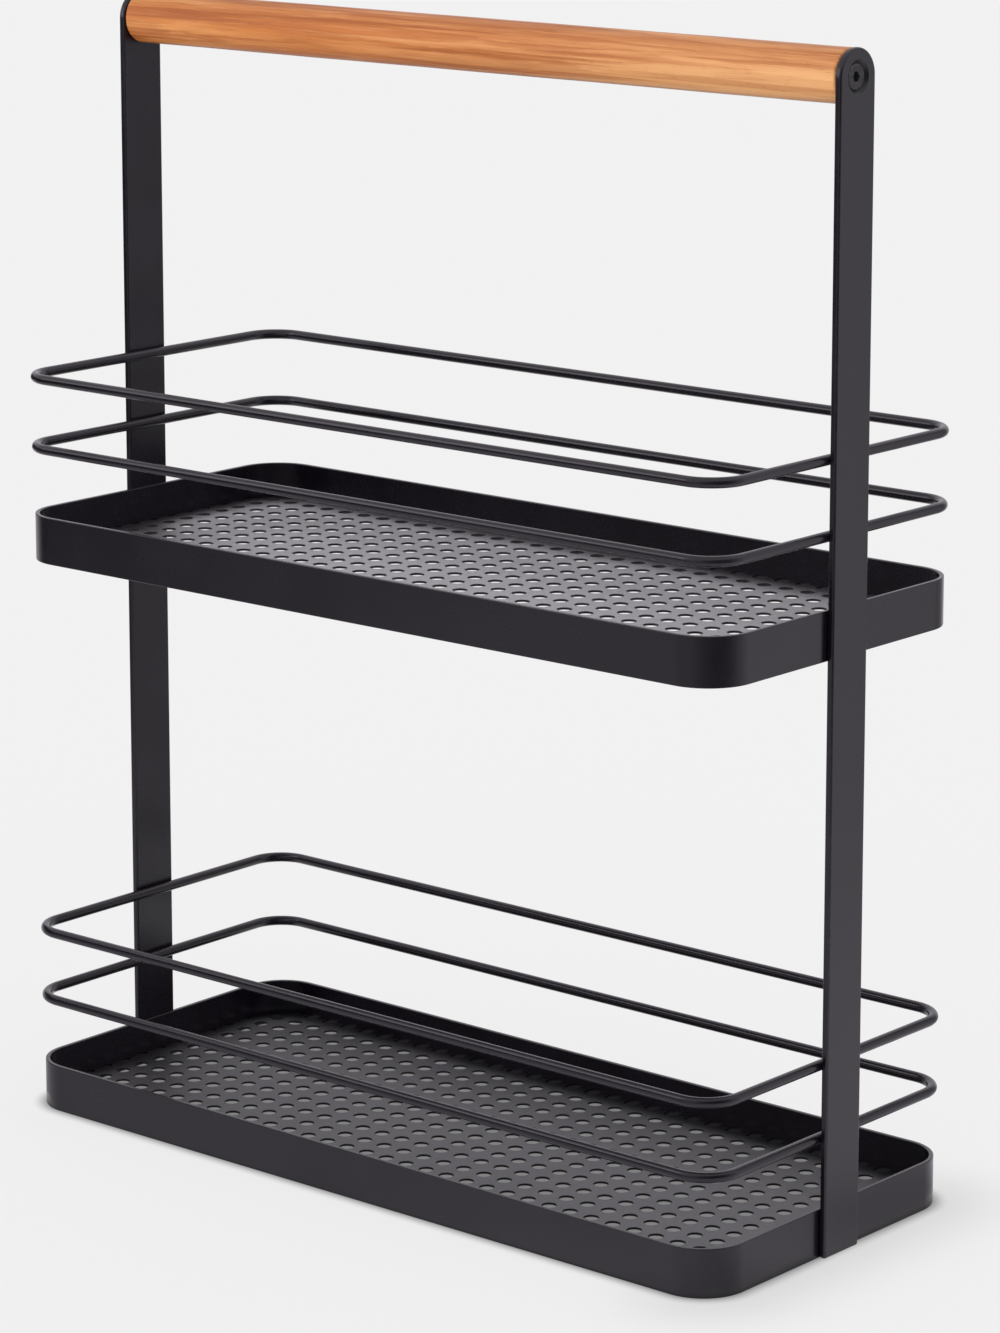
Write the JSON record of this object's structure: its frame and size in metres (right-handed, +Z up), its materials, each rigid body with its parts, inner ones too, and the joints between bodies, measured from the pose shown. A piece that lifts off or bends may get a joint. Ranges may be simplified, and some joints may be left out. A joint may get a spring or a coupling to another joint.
{
  "type": "two-tier spice rack",
  "caption": "Free-standing two-tier rack of flat bars, shallow perforated trays and closed wire guards, carried by a round wooden handle between its uprights.",
  "frame": {"origin": "centre of the footprint, on the surface the rack stands on", "axes": "+X along the trays and the handle, -Y towards the front, +Z up"},
  "size_m": [0.3048, 0.128, 0.3805],
  "materials": {
    "black_coat": "satin black powder coat",
    "sheet_coat": "satin black powder coat on perforated sheet",
    "handle_wood": "oiled, fine straight grain",
    "insert_metal": "plain",
    "screw_black": "black oxide"
  },
  "bodies": {
    "frame": {"left_upright": "black_coat", "right_upright": "black_coat", "lower_tray_rim": "black_coat", "lower_tray_floor": "sheet_coat", "lower_guard_bottom": "black_coat", "lower_guard_top": "black_coat", "upper_tray_rim": "black_coat", "upper_tray_floor": "sheet_coat", "upper_guard_bottom": "black_coat", "upper_guard_top": "black_coat"},
    "handle": {"handle_dowel": "handle_wood", "left_threaded_insert": "insert_metal", "right_threaded_insert": "insert_metal", "left_handle_screw": "screw_black", "right_handle_screw": "screw_black"}
  },
  "joints": [
    {"name": "handle_turn", "type": "hinge", "parent": "frame", "child": "handle", "pos_m": [0, 0, 0.3716], "axis": [1, 0, 0], "continuous": true}
  ]
}
